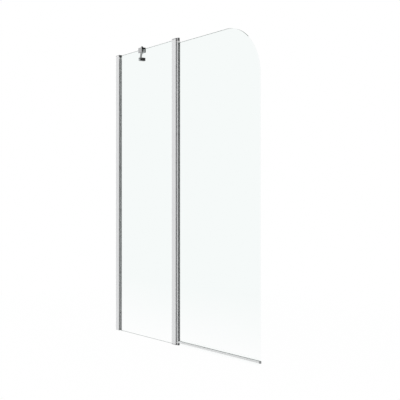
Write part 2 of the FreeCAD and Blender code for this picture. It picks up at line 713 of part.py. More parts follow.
PIECES = {
    "wall_channel": wall_channel,
    "wall_glazing_profile": wall_glazing_profile,
    "wall_glazing_gasket": wall_glazing_gasket,
    "profile_screws": profile_screws,
    "screw_cover_caps": screw_cover_caps,
    "wall_top_cap": wall_top_cap,
    "wall_top_plug": wall_top_plug,
    "fixed_glass": fixed_glass,
    "hinge_post": hinge_post,
    "post_glazing_gaskets": post_glazing_gaskets,
    "post_lip_seal": post_lip_seal,
    "hinge_top_cap": hinge_top_cap,
    "hinge_bottom_cap": hinge_bottom_cap,
    "hinge_cap_screws": hinge_cap_screws,
    "top_pivot_pin": lambda: pivot_pin(SCREEN_HEIGHT - 4, 1379),
    "bottom_pivot_pin": lambda: pivot_pin(3, 18.5),
    "top_pivot_bush": lambda: pivot_bush((DOOR_PROFILE_TOP, TOP_NOSE_BOTTOM - LIFT_GAP),
                                         (DOOR_GLASS_TOP + 0.5, DOOR_PROFILE_TOP)),
    "bottom_pivot_bush": lambda: pivot_bush((BOTTOM_NOSE_TOP + THRUST_GAP, DOOR_PROFILE_BOTTOM),
                                            (DOOR_PROFILE_BOTTOM, DOOR_GLASS_BOTTOM - 0.5)),
    "door_profile": door_profile,
    "door_glazing_gasket": door_glazing_gasket,
    "door_glass": door_glass,
    "door_seal_rail": door_seal_rail,
    "door_seal_clip": door_seal_clip,
    "door_seal_fins": door_seal_fins,
    "seal_end_cap": seal_end_cap,
    "clamp_body": clamp_body,
    "clamp_liner": clamp_liner,
    "clamp_pressure_plate": clamp_pressure_plate,
    "clamp_grub_screws": clamp_grub_screws,
    "clamp_swivel_pin": clamp_swivel_pin,
    "brace_bar": brace_bar,
    "bracket_body": bracket_body,
    "bracket_swivel_pin": bracket_swivel_pin,
}

os.makedirs("parts", exist_ok=True)
for name, make in PIECES.items():
    shape = make()
    solids = shape.Solids
    sound = shape.isValid() and all(s.isClosed() for s in solids)
    print(f"{name:24} {len(solids)} solid(s), {shape.Volume / 1000:9.2f} cm3, sound {sound}")
    shape.exportStep(f"parts/{name}.step")
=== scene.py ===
import json
import math

import bmesh
import bpy
from bpy.props import FloatProperty, FloatVectorProperty, IntProperty, PointerProperty
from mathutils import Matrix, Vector

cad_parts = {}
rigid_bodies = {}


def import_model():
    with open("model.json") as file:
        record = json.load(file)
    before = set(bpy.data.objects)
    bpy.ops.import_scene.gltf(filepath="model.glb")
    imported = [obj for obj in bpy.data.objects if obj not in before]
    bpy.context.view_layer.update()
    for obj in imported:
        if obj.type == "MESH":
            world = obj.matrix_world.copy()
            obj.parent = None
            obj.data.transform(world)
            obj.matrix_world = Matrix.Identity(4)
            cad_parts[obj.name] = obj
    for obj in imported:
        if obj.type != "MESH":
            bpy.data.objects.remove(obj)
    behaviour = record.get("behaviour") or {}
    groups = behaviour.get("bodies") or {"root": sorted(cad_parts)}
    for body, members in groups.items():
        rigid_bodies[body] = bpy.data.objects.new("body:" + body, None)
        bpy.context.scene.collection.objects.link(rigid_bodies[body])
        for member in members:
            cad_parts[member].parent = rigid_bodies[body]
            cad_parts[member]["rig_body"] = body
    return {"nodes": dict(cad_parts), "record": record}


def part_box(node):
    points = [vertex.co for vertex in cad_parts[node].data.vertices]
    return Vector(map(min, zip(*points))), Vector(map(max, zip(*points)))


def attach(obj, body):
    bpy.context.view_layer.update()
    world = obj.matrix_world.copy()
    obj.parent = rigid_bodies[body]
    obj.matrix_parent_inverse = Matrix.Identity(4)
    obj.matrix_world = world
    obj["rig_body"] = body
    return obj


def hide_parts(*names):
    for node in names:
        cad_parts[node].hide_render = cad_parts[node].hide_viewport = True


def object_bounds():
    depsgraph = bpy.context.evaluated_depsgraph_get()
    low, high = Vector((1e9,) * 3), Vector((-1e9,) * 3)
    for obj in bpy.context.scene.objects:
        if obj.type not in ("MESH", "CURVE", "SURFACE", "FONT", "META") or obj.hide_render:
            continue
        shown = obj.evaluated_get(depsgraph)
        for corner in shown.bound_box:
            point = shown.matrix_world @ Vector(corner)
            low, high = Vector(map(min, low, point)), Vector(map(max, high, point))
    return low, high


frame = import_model()
CAD_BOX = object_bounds()

bl_info = {
    "name": "Bath Screen",
    "version": (1, 0, 0),
    "blender": (4, 5, 0),
    "location": "3D View > Sidebar > Bath Screen",
    "description": "Panes, extrusions, hinge, seal and brace of a two-panel bath screen",
    "category": "Object",
}

MM = 0.001
TINY = 1e-9                            # shorter than any real length
WELD = 1e-6                            # corners closer than this are one corner
FLAT = math.radians(0.5)               # faces that turn by less belong to one flat face
SHARP = math.radians(35.0)             # edges that turn by more are rounded, or stay sharp
LARGE_ARC = 0.02                       # an arc of this radius gets twice the steps of a small one
FACE_WEIGHT = 80                       # how far the shading of a corner follows its large faces
SOCKET_CHAMFER = 0.12                  # share of a socket's size and depth
QUARTER = math.pi / 2
ALONG_X = (QUARTER, 0.0, QUARTER)      # turns a section drawn in Y and Z to run along X
ACROSS_Y = (QUARTER, 0.0, 0.0)         # stands an outline drawn in X and Z upright
UP = (0.0, 0.0, 1.0)
INTO_BATH = (0.0, 1.0, 0.0)
TO_FREE_END = (1.0, 0.0, 0.0)
WHITE = (1.0, 1.0, 1.0, 1.0)
PICTURE = 400.0                        # width of the picture, in picture elements
FOCAL = 795.0                          # focal length, in picture elements
HORIZON = 2.63                         # drop of the horizon under the middle, in picture elements
FILM = 36.0                            # width of the camera's film, in millimetres
VIEW = (0.8101, 0.5863)                # shares of -X and of +Y in the camera's direction
SLOTS = {row["node"]: row["material_slot"] for row in frame["record"]["subparts"]}


# Sizes and colours that a user would change

class ScreenSizes(bpy.types.PropertyGroup):
    """Small sizes that the finish of the pieces adds to the frame."""
    arris: FloatProperty(
        name="Glass arris", description="Polished bevel round both panes",
        default=0.6 * MM, min=0.0, unit="LENGTH")
    door_corner: FloatProperty(
        name="Door corner", description="Radius of the door pane's top corner",
        default=220 * MM, min=0.0, unit="LENGTH")
    foot_corner: FloatProperty(
        name="Foot corner", description="Radius of the door pane's corner over the seal",
        default=2 * MM, min=0.0, unit="LENGTH")
    cast_edge: FloatProperty(
        name="Cast edge", description="Rounding of the edges of chromed castings",
        default=0.35 * MM, min=0.0, unit="LENGTH")
    extruded_edge: FloatProperty(
        name="Extruded edge", description="Rounding of the edges of extrusions",
        default=0.2 * MM, min=0.0, unit="LENGTH")
    moulded_edge: FloatProperty(
        name="Moulded edge", description="Rounding of the edges of plastic mouldings",
        default=0.4 * MM, min=0.0, unit="LENGTH")
    fine_edge: FloatProperty(
        name="Fine edge", description="Rounding of the edges of thin walls",
        default=0.12 * MM, min=0.0, unit="LENGTH")
    arc_steps: IntProperty(
        name="Arc steps", description="Faces in a quarter turn of a section's corner",
        default=8, min=2, max=64)
    round_steps: IntProperty(
        name="Round steps", description="Faces round a turned fastener",
        default=48, min=12, max=96)
    seed: IntProperty(
        name="Seed", description="Start of the random turn of each fastener",
        default=3, min=0)


class ScreenFinishes(bpy.types.PropertyGroup):
    """Colours of the finishes."""
    aluminium: FloatVectorProperty(
        name="Aluminium", description="Polished anodised extrusions",
        default=(0.77, 0.775, 0.78), subtype="COLOR", min=0.0, max=1.0)
    chrome: FloatVectorProperty(
        name="Chrome", description="Plated castings",
        default=(0.44, 0.445, 0.45), subtype="COLOR", min=0.0, max=1.0)
    stainless: FloatVectorProperty(
        name="Stainless", description="Screws, pins and the pressure plate",
        default=(0.62, 0.62, 0.61), subtype="COLOR", min=0.0, max=1.0)
    glass: FloatVectorProperty(
        name="Glass", description="Tint of the toughened panes",
        default=(0.9595, 0.977, 0.973), subtype="COLOR", min=0.0, max=1.0)
    polished_edge: FloatVectorProperty(
        name="Polished edge", description="Tint of the upright edges of the panes",
        default=(0.985, 0.99, 0.99), subtype="COLOR", min=0.0, max=1.0)
    glass_edge: FloatVectorProperty(
        name="Glass edge", description="Ground level edges of the panes",
        default=(0.28, 0.34, 0.32), subtype="COLOR", min=0.0, max=1.0)
    clear_pvc: FloatVectorProperty(
        name="Clear PVC", description="Legs and fins of the bottom seal",
        default=(0.993, 0.996, 0.995), subtype="COLOR", min=0.0, max=1.0)
    milky_pvc: FloatVectorProperty(
        name="Milky PVC", description="Liner between the clamp and the glass",
        default=(0.72, 0.73, 0.73), subtype="COLOR", min=0.0, max=1.0)
    grey_pvc: FloatVectorProperty(
        name="Grey PVC", description="Rail of the bottom seal",
        default=(0.68, 0.69, 0.69), subtype="COLOR", min=0.0, max=1.0)
    moulded_grey: FloatVectorProperty(
        name="Moulded grey", description="End cap of the bottom seal",
        default=(0.34, 0.35, 0.35), subtype="COLOR", min=0.0, max=1.0)
    nylon: FloatVectorProperty(
        name="Nylon", description="Bushes and the wall profile's end plug",
        default=(0.88, 0.88, 0.87), subtype="COLOR", min=0.0, max=1.0)
    rubber: FloatVectorProperty(
        name="Rubber", description="Glazing gaskets and the lip seal",
        default=(0.42, 0.43, 0.43), subtype="COLOR", min=0.0, max=1.0)
    pale_rubber: FloatVectorProperty(
        name="Pale rubber", description="Gasket in the wall profile",
        default=(0.74, 0.75, 0.75), subtype="COLOR", min=0.0, max=1.0)
    raw_casting: FloatVectorProperty(
        name="Raw casting", description="Unplated slot inside the wall profile's cap",
        default=(0.78, 0.78, 0.77), subtype="COLOR", min=0.0, max=1.0)
    # Painted shade: near black on the faces of the bracket's screw hole.
    bore_painted_shade: FloatVectorProperty(
        name="Bare bore", description="Unplated screw hole in the wall bracket",
        default=(0.03, 0.03, 0.03), subtype="COLOR", min=0.0, max=1.0)


class StageSettings(bpy.types.PropertyGroup):
    """Camera, lamp and floor."""
    camera_place: FloatVectorProperty(
        name="Camera", description="Place of the camera",
        default=(3.545, -2.044, 0.649), subtype="TRANSLATION", unit="LENGTH")
    heading: FloatProperty(
        name="Heading", description="Turn of the camera from looking along +Y towards -X",
        default=math.atan2(*VIEW), subtype="ANGLE")
    pitch: FloatProperty(
        name="Pitch", description="Tilt of the camera above the level",
        default=math.atan2(HORIZON, FOCAL), subtype="ANGLE")
    lens: FloatProperty(
        name="Lens", description="Focal length for the camera's film, in millimetres",
        default=FILM * FOCAL / PICTURE, min=1.0)
    sky_light: FloatProperty(
        name="Sky light", description="Even light from all round",
        default=0.75, min=0.0)
    lamp_place: FloatVectorProperty(
        name="Lamp", description="Place of the soft lamp in front of the fixed pane",
        default=(-0.8, -3.2, 2.4), subtype="TRANSLATION", unit="LENGTH")
    lamp_size: FloatProperty(
        name="Lamp size", description="Width of the soft lamp",
        default=2.0, min=0.1, unit="LENGTH")
    lamp_power: FloatProperty(
        name="Lamp power", description="Power of the soft lamp, in watts",
        default=60.0, min=0.0)
    floor_half: FloatProperty(
        name="Floor", description="Half the width of the floor",
        default=2.4, min=1.0, unit="LENGTH")
    floor_colour: FloatVectorProperty(
        name="Floor colour", description="Colour of the floor where it takes a shadow",
        default=(0.94, 0.94, 0.94), subtype="COLOR", min=0.0, max=1.0)
    floor_drop: FloatProperty(
        name="Floor drop", description="Gap between the screen and the floor",
        default=0.5 * MM, min=0.0, unit="LENGTH")


# Node trees

def add_node(tree, kind, values=None, **settings):
    """Add a node, set its own settings, and link or fill its inputs."""
    made = tree.nodes.new(kind)
    for key, value in settings.items():
        setattr(made, key, value)
    for key, value in (values or {}).items():
        if isinstance(value, bpy.types.NodeSocket):
            tree.links.new(value, made.inputs[key])
        else:
            made.inputs[key].default_value = value
    return made


def maths(tree, operation, first, second=0.0):
    """Result of a sum on one or two values."""
    return add_node(tree, "ShaderNodeMath", {0: first, 1: second}, operation=operation).outputs[0]


def streaks(tree, scale, detail=3.0):
    """Noise on object coordinates, stretched by a different scale along each axis."""
    place = add_node(tree, "ShaderNodeTexCoord").outputs["Object"]
    drawn = add_node(tree, "ShaderNodeMapping", {"Vector": place, "Scale": scale})
    noise = add_node(tree, "ShaderNodeTexNoise",
                     {"Vector": drawn.outputs["Vector"], "Scale": 1.0, "Detail": detail})
    return noise.outputs["Fac"]


def spread(tree, value, low, high, middle=(0.3, 0.7)):
    """Map a value between two ends, such as the middle of a noise, to the range low to high."""
    return add_node(tree, "ShaderNodeMapRange", {
        "Value": value, "From Min": middle[0], "From Max": middle[1],
        "To Min": low, "To Max": high}).outputs["Result"]


def tinted(tree, value, colour, share):
    """Colour that a noise darkens by up to a share."""
    dark = [c * (1 - share) for c in colour]
    mixed = add_node(tree, "ShaderNodeMix", {
        "Factor": value, "A": (*dark, 1.0), "B": (*colour, 1.0)}, data_type="RGBA")
    return mixed.outputs["Result"]


def bumped(tree, height, strength, distance):
    """Normal from a height."""
    return add_node(tree, "ShaderNodeBump", {
        "Height": height, "Strength": strength, "Distance": distance}).outputs["Normal"]


def surface(name, metallic=0.0):
    """New material with its tree and Principled shader."""
    material = bpy.data.materials.new(name)
    material.use_nodes = True
    tree = material.node_tree
    shader = tree.nodes["Principled BSDF"]
    shader.inputs["Metallic"].default_value = metallic
    return material, tree, shader


def wire(tree, node, **links):
    """Link sockets to a node's inputs by name."""
    for key, socket in links.items():
        tree.links.new(socket, node.inputs[key.replace("_", " ")])


def polished_aluminium(look):
    """Bright anodised extrusion with fine draw lines up its length and faint handling marks."""
    material, tree, shader = surface("polished_aluminium", metallic=0.93)
    lines = streaks(tree, scale=(2600.0, 2600.0, 6.0))
    marks = streaks(tree, scale=(30.0, 30.0, 9.0), detail=6.0)
    both = maths(tree, "MULTIPLY", lines, marks)
    wire(tree, shader,
         Base_Color=tinted(tree, marks, look.aluminium, share=0.02),
         Roughness=spread(tree, both, 0.42, 0.46, middle=(0.1, 0.4)),
         Normal=bumped(tree, lines, strength=0.06, distance=0.01 * MM))
    return material


def chrome(look):
    """Mirror chrome with the soft unevenness of a polished casting and faint finger marks."""
    material, tree, shader = surface("chrome", metallic=1.0)
    waves = streaks(tree, scale=(90.0, 90.0, 90.0), detail=1.0)
    marks = streaks(tree, scale=(240.0, 240.0, 240.0), detail=5.0)
    wire(tree, shader,
         Base_Color=tinted(tree, marks, look.chrome, share=0.04),
         Roughness=spread(tree, marks, 0.05, 0.11),
         Normal=bumped(tree, waves, strength=0.15, distance=0.05 * MM))
    return material


def stainless(look):
    """Turned or rolled stainless steel with fine crossing scratches."""
    material, tree, shader = surface("stainless", metallic=1.0)
    level = streaks(tree, scale=(400.0, 400.0, 9000.0))
    upright = streaks(tree, scale=(9000.0, 9000.0, 400.0))
    both = maths(tree, "MAXIMUM", level, upright)
    wire(tree, shader,
         Base_Color=tinted(tree, level, look.stainless, share=0.12),
         Roughness=spread(tree, both, 0.22, 0.38),
         Normal=bumped(tree, both, strength=0.2, distance=0.01 * MM))
    return material


def bore_painted_shade(look):
    """Painted shade inside a deep hole: a dull, near-black colour."""
    material, tree, shader = surface("bore_painted_shade")
    rings = streaks(tree, scale=(3000.0, 400.0, 400.0))
    wire(tree, shader,
         Base_Color=tinted(tree, rings, look.bore_painted_shade, share=0.5),
         Roughness=spread(tree, rings, 0.5, 0.7))
    return material


def see_through(name, tint, mirror_index, roughness, marks_scale, painted_foot_light=0.0,
                fade=(0.28, 0.02)):
    """Clear sheet that shows what is behind it unbent, and mirrors more at a slant.

    mirror_index is the refractive index that sets how much it mirrors. The share given for the
    foot is painted light: that share of the tint fades out at the foot, from the first height
    of fade to the second, so that the foot looks lit by the floor.
    """
    material, tree, shader = surface(name, metallic=1.0)
    shader.inputs["Base Color"].default_value = WHITE
    marks = streaks(tree, marks_scale, detail=5.0)
    wire(tree, shader, Roughness=spread(tree, marks, *roughness))
    through = add_node(tree, "ShaderNodeBsdfTransparent", {"Color": (*tint, 1.0)})
    # Painted light: towards the foot the tint fades to white, standing in for light from the floor
    # caught in the glass.
    if painted_foot_light:
        place = add_node(tree, "ShaderNodeTexCoord").outputs["Object"]
        height = add_node(tree, "ShaderNodeSeparateXYZ", {"Vector": place}).outputs["Z"]
        low = spread(tree, height, 0.0, painted_foot_light, middle=fade)
        body = add_node(tree, "ShaderNodeMix", {
            "Factor": low, "A": (*tint, 1.0), "B": WHITE}, data_type="RGBA")
        wire(tree, through, Color=body.outputs["Result"])
    inside = add_node(tree, "ShaderNodeNewGeometry").outputs["Backfacing"]
    sheen = add_node(tree, "ShaderNodeFresnel", {"IOR": mirror_index}).outputs["Fac"]
    outside = maths(tree, "SUBTRACT", 1.0, inside)
    mixed = add_node(tree, "ShaderNodeMixShader", {
        0: maths(tree, "MULTIPLY", sheen, outside), 1: through.outputs[0], 2: shader.outputs[0]})
    wire(tree, tree.nodes["Material Output"], Surface=mixed.outputs[0])
    return material


def glass_edge(look):
    """Level edge of a pane, ground and grey."""
    material, tree, shader = surface("glass_edge")
    shader.inputs["IOR"].default_value = 1.5
    grain = streaks(tree, scale=(500.0, 4000.0, 500.0), detail=4.0)
    wire(tree, shader,
         Base_Color=tinted(tree, grain, look.glass_edge, share=0.2),
         Roughness=spread(tree, grain, 0.25, 0.45),
         Normal=bumped(tree, grain, strength=0.15, distance=0.02 * MM))
    return material


def grey_pvc(look):
    """Rigid grey PVC with fine draw lines."""
    material, tree, shader = surface("grey_pvc")
    lines = streaks(tree, scale=(6.0, 2400.0, 2400.0))
    wire(tree, shader,
         Base_Color=tinted(tree, lines, look.grey_pvc, share=0.08),
         Roughness=spread(tree, lines, 0.34, 0.5),
         Normal=bumped(tree, lines, strength=0.2, distance=0.02 * MM))
    return material


def moulded(name, colour, rough, grain_scale):
    """Moulded plastic with a fine spark-eroded grain."""
    material, tree, shader = surface(name)
    grain = streaks(tree, scale=(grain_scale,) * 3)
    wire(tree, shader,
         Base_Color=tinted(tree, grain, colour, share=0.1),
         Roughness=spread(tree, grain, rough, rough + 0.14),
         Normal=bumped(tree, grain, strength=0.3, distance=0.03 * MM))
    return material


def rubber(name, colour):
    """Soft gasket rubber, slightly dusty, with lines up its length."""
    material, tree, shader = surface(name)
    lines = streaks(tree, scale=(3000.0, 3000.0, 30.0))
    dust = streaks(tree, scale=(60.0, 60.0, 25.0), detail=6.0)
    wire(tree, shader,
         Base_Color=tinted(tree, dust, colour, share=0.22),
         Roughness=spread(tree, dust, 0.55, 0.75),
         Normal=bumped(tree, lines, strength=0.3, distance=0.03 * MM))
    return material


FINISHES = {
    "polished_aluminium": polished_aluminium,
    "chrome": chrome,
    "stainless": stainless,
    # Painted light: the clear glass's tint fades out near the foot.
    "clear_glass": lambda look: see_through(
        "clear_glass", look.glass, mirror_index=1.15, roughness=(0.0, 0.03),
        marks_scale=(2.0, 2.0, 14.0), painted_foot_light=0.8),
    "polished_edge": lambda look: see_through(
        "polished_edge", look.polished_edge, mirror_index=1.15, roughness=(0.0, 0.05),
        marks_scale=(9.0, 9.0, 30.0)),
    "glass_edge": glass_edge,
    "clear_pvc": lambda look: see_through(
        "clear_pvc", look.clear_pvc, mirror_index=1.012, roughness=(0.1, 0.2),
        marks_scale=(5.0, 900.0, 900.0)),
    "milky_pvc": lambda look: moulded("milky_pvc", look.milky_pvc, rough=0.25, grain_scale=900.0),
    "bore_painted_shade": bore_painted_shade,
    "grey_pvc": grey_pvc,
    "dark_grey_plastic": lambda look: moulded(
        "dark_grey_plastic", look.moulded_grey, rough=0.4, grain_scale=2500.0),
    "white_nylon": lambda look: moulded("white_nylon", look.nylon, rough=0.35, grain_scale=1800.0),
    "grey_rubber": lambda look: rubber("grey_rubber", look.rubber),
    "pale_rubber": lambda look: rubber("pale_rubber", look.pale_rubber),
    "raw_casting": lambda look: moulded(
        "raw_casting", look.raw_casting, rough=0.5, grain_scale=700.0),
}
made_finishes = {}


def finish(name):
    """Material of a finish, made the first time that it is asked for."""
    if name not in made_finishes:
        made_finishes[name] = FINISHES[name](bpy.context.scene.screen_finishes)
    return made_finishes[name]


# Outlines and meshes

def rounded(corners, closed=True):
    """Points through (u, v) or (u, v, radius) corners, rounded by tangent arcs."""
    steps = bpy.context.scene.screen_sizes.arc_steps
    points = [Vector((c[0], c[1], 0.0)) for c in corners]
    drawn = []
    for i, point in enumerate(points):
        radius = corners[i][2] if len(corners[i]) > 2 else 0.0
        at_end = not closed and i in (0, len(points) - 1)
        if radius < TINY or at_end:
            drawn.append(point)
            continue
        back = (points[i - 1] - point).normalized()
        ahead = (points[(i + 1) % len(points)] - point).normalized()
        half = back.angle(ahead) / 2
        centre = point + (back + ahead).normalized() * (radius / math.sin(half))
        start = (point + back * (radius / math.tan(half)) - centre).normalized()
        end = (point + ahead * (radius / math.tan(half)) - centre).normalized()
        count = max(2, round(steps * (math.pi - 2 * half) / QUARTER * (1 + radius / LARGE_ARC)))
        for j in range(count + 1):
            drawn.append(centre + start.slerp(end, j / count) * radius)
    return drawn


def mirrored(corners):
    """Outline drawn for the second coordinate over 0, closed by its mirror image."""
    return list(corners) + [(c[0], -c[1], *c[2:]) for c in reversed(corners)]


def new_object(name, data):
    """Object at the origin, in the scene."""
    made = bpy.data.objects.new(name, data)
    bpy.context.scene.collection.objects.link(made)
    return made


def outline_curve(name, loops):
    """Curve object with one closed straight-run spline for each loop of points."""
    curve = bpy.data.curves.new(name, "CURVE")
    curve.dimensions = "3D"
    for loop in loops:
        spline = curve.splines.new("POLY")
        spline.points.add(len(loop) - 1)
        for place, point in zip(spline.points, loop):
            place.co = (*point, 1.0)
        spline.use_cyclic_u = True
    return new_object(name, curve)


def new_tree(name, output, **inputs):
    """Geometry node group with one geometry output and named inputs of the given kinds."""
    tree = bpy.data.node_groups.new(name, "GeometryNodeTree")
    for key, kind in inputs.items():
        tree.interface.new_socket(name=key, in_out="INPUT", socket_type="NodeSocket" + kind)
    tree.interface.new_socket(name=output, in_out="OUTPUT", socket_type="NodeSocketGeometry")
    return tree


def extrusion_tree():
    """Nodes that fill a section, draw it out to a length, close it, and turn it into place."""
    tree = bpy.data.node_groups.get("extrusion")
    if tree:
        return tree
    tree = new_tree("extrusion", "Bar", Section="Geometry", Length="Float", Foot="Vector",
                    Turn="Vector", Finish="Material")
    given = add_node(tree, "NodeGroupInput").outputs
    filled = add_node(tree, "GeometryNodeFillCurve", {"Curve": given["Section"]}, mode="NGONS")
    reach = add_node(tree, "ShaderNodeCombineXYZ", {"Z": given["Length"]})
    drawn = add_node(tree, "GeometryNodeExtrudeMesh", {
        "Mesh": filled.outputs["Mesh"], "Offset": reach.outputs["Vector"],
        "Individual": False}, mode="FACES")
    foot = add_node(tree, "GeometryNodeFlipFaces", {"Mesh": filled.outputs["Mesh"]})
    both = add_node(tree, "GeometryNodeJoinGeometry", {"Geometry": drawn.outputs["Mesh"]})
    tree.links.new(foot.outputs["Mesh"], both.inputs["Geometry"])
    closed = add_node(tree, "GeometryNodeMergeByDistance", {
        "Geometry": both.outputs["Geometry"], "Distance": WELD})
    placed = add_node(tree, "GeometryNodeTransform", {
        "Geometry": closed.outputs["Geometry"], "Translation": given["Foot"],
        "Rotation": given["Turn"]})
    real = add_node(tree, "GeometryNodeRealizeInstances", {"Geometry": placed.outputs["Geometry"]})
    coated = add_node(tree, "GeometryNodeSetMaterial", {
        "Geometry": real.outputs["Geometry"], "Material": given["Finish"]})
    add_node(tree, "NodeGroupOutput", {"Bar": coated.outputs["Geometry"]})
    return tree


def fastener_tree():
    """Nodes that seat a fastener on each point, each turned by chance about its own axis."""
    tree = bpy.data.node_groups.get("fasteners")
    if tree:
        return tree
    tree = new_tree("fasteners", "Row", Seats="Geometry", Fastener="Object", Seed="Int",
                    Finish="Material")
    given = add_node(tree, "NodeGroupInput").outputs
    shape = add_node(tree, "GeometryNodeObjectInfo", {"Object": given["Fastener"]})
    aim = add_node(tree, "GeometryNodeInputNamedAttribute", {"Name": "aim"},
                   data_type="FLOAT_VECTOR")
    facing = add_node(tree, "FunctionNodeAlignRotationToVector", {
        "Vector": aim.outputs["Attribute"]}, axis="Z")
    chance = add_node(tree, "FunctionNodeRandomValue", {
        "Min": 0.0, "Max": math.pi, "Seed": given["Seed"]}, data_type="FLOAT")
    own_turn = add_node(tree, "ShaderNodeCombineXYZ", {"Z": chance.outputs[1]})
    spun = add_node(tree, "FunctionNodeRotateRotation", {
        "Rotation": facing.outputs["Rotation"], "Rotate By": own_turn.outputs["Vector"]},
        rotation_space="LOCAL")
    row = add_node(tree, "GeometryNodeInstanceOnPoints", {
        "Points": given["Seats"], "Instance": shape.outputs["Geometry"],
        "Rotation": spun.outputs["Rotation"]})
    real = add_node(tree, "GeometryNodeRealizeInstances", {"Geometry": row.outputs["Instances"]})
    coated = add_node(tree, "GeometryNodeSetMaterial", {
        "Geometry": real.outputs["Geometry"], "Material": given["Finish"]})
    add_node(tree, "NodeGroupOutput", {"Row": coated.outputs["Geometry"]})
    return tree


def run_nodes(source, tree, **values):
    """Give an object a node modifier with its inputs set by name."""
    modifier = source.modifiers.new("nodes", "NODES")
    modifier.node_group = tree
    named = {item.name: item.identifier for item in tree.interface.items_tree
             if item.in_out == "INPUT"}
    for name, value in values.items():
        modifier[named[name]] = value


def plain_mesh(source):
    """Mesh of an object as its modifiers leave it."""
    graph = bpy.context.evaluated_depsgraph_get()
    return bpy.data.meshes.new_from_object(source.evaluated_get(graph))


def made_plain(source, name, edge=0.0, edge_steps=3, hold_back=False):
    """Plain mesh object from an object's modifiers, with rounded edges and even shading.

    hold_back keeps the rounding from crossing itself where walls are thin.
    """
    mesh = plain_mesh(source)
    while mesh.materials and mesh.materials[0] is None:
        mesh.materials.pop(index=0)
    bpy.data.objects.remove(source)
    piece = new_object(name, mesh)
    if edge:
        bevel = piece.modifiers.new("edges", "BEVEL")
        bevel.width = edge
        bevel.segments = edge_steps
        bevel.limit_method = "ANGLE"
        bevel.angle_limit = SHARP
        bevel.use_clamp_overlap = hold_back
        rounded_mesh = plain_mesh(piece)
        piece.modifiers.clear()
        piece.data = rounded_mesh
    piece.data.shade_smooth()
    piece.data.set_sharp_from_angle(angle=SHARP)
    even = piece.modifiers.new("even_shading", "WEIGHTED_NORMAL")
    even.keep_sharp = True
    even.weight = FACE_WEIGHT
    shaded_mesh = plain_mesh(piece)
    piece.modifiers.clear()
    piece.data = shaded_mesh
    return piece


def extruded(name, node, loops, along, turn=(0.0, 0.0, 0.0), edge=0.0, foot=None):
    """Piece drawn out along an axis, over the length of the node that it stands for."""
    low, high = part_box(node)
    axis = Vector(along)
    place = foot if foot else axis * low.dot(axis)
    source = outline_curve(name + "_section", loops)
    run_nodes(source, extrusion_tree(), Length=(high - low).dot(axis), Foot=place, Turn=turn,
              Finish=finish(SLOTS[node]))
    return settle(made_plain(source, name, edge), node)


def settle(piece, *nodes):
    """Hand a piece over: it rides on its nodes' body and stands for them, which are hidden."""
    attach(piece, frame["nodes"][nodes[0]]["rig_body"])
    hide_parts(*nodes)
    return piece


def merged(node):
    """Editable copy of a CAD node's mesh, its loose triangles joined at their corners."""
    shape = bmesh.new()
    shape.from_mesh(frame["nodes"][node].data)
    for layer in list(shape.loops.layers.float_vector.values()):
        shape.loops.layers.float_vector.remove(layer)
    bmesh.ops.remove_doubles(shape, verts=shape.verts, dist=WELD)
    return shape


def whole_faces(node):
    """Editable copy of a CAD node's mesh with its triangles merged into whole faces."""
    shape = merged(node)
    bmesh.ops.dissolve_limit(shape, angle_limit=FLAT, verts=shape.verts, edges=shape.edges)
    return shape


def section_loops(node, axis):
    """Closed outlines of a node's low end, drawn in the plane across an axis (0 is X, 2 is Z)."""
    u, v = [i for i in range(3) if i != axis]
    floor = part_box(node)[0][axis]
    shape = whole_faces(node)
    ends = {face for face in shape.faces
            if all(abs(corner.co[axis] - floor) < WELD for corner in face.verts)}
    rim = dict.fromkeys(edge for edge in shape.edges
                        if len(ends.intersection(edge.link_faces)) == 1)
    loops = []
    while rim:
        edge, _ = rim.popitem()
        start, last = edge.verts
        loop = [start, last]
        while last is not start:
            edge = next(other for other in last.link_edges if other in rim)
            del rim[edge]
            last = edge.other_vert(last)
            loop.append(last)
        loops.append([Vector((p.co[u], p.co[v], 0.0)) for p in loop[:-1]])
    shape.free()
    return loops


def softened(name, node, edge, steps=3, hold_back=False):
    """Piece with a CAD node's own shape, its sharp edges rounded as the real one's are."""
    mesh = bpy.data.meshes.new(node)
    shape = whole_faces(node)
    shape.to_mesh(mesh)
    shape.free()
    piece = made_plain(new_object(name + "_rough", mesh), name, edge, steps, hold_back)
    piece.data.materials.clear()
    piece.data.materials.append(finish(SLOTS[node]))
    return settle(piece, node)


def repaint(name, material, chosen):
    """Give the chosen faces of a finished piece another finish."""
    mesh = bpy.data.objects[name].data
    mesh.materials.append(finish(material))
    for face in mesh.polygons:
        if chosen(face):
            face.material_index = len(mesh.materials) - 1
    if all(face.material_index for face in mesh.polygons):
        mesh.materials.pop(index=0)


def islands(node):
    """(low corner, high corner) of each separate solid of a node, from the lowest up."""
    shape = merged(node)
    left = set(shape.verts)
    boxes = []
    while left:
        group = {left.pop()}
        unseen = list(group)
        while unseen:
            vertex = unseen.pop()
            for link in vertex.link_edges:
                other = link.other_vert(vertex)
                if other in left:
                    left.remove(other)
                    group.add(other)
                    unseen.append(other)
        low = Vector([min(v.co[i] for v in group) for i in range(3)])
        high = Vector([max(v.co[i] for v in group) for i in range(3)])
        boxes.append((low, high))
    shape.free()
    return sorted(boxes, key=lambda box: (box[0].z, box[0].x))


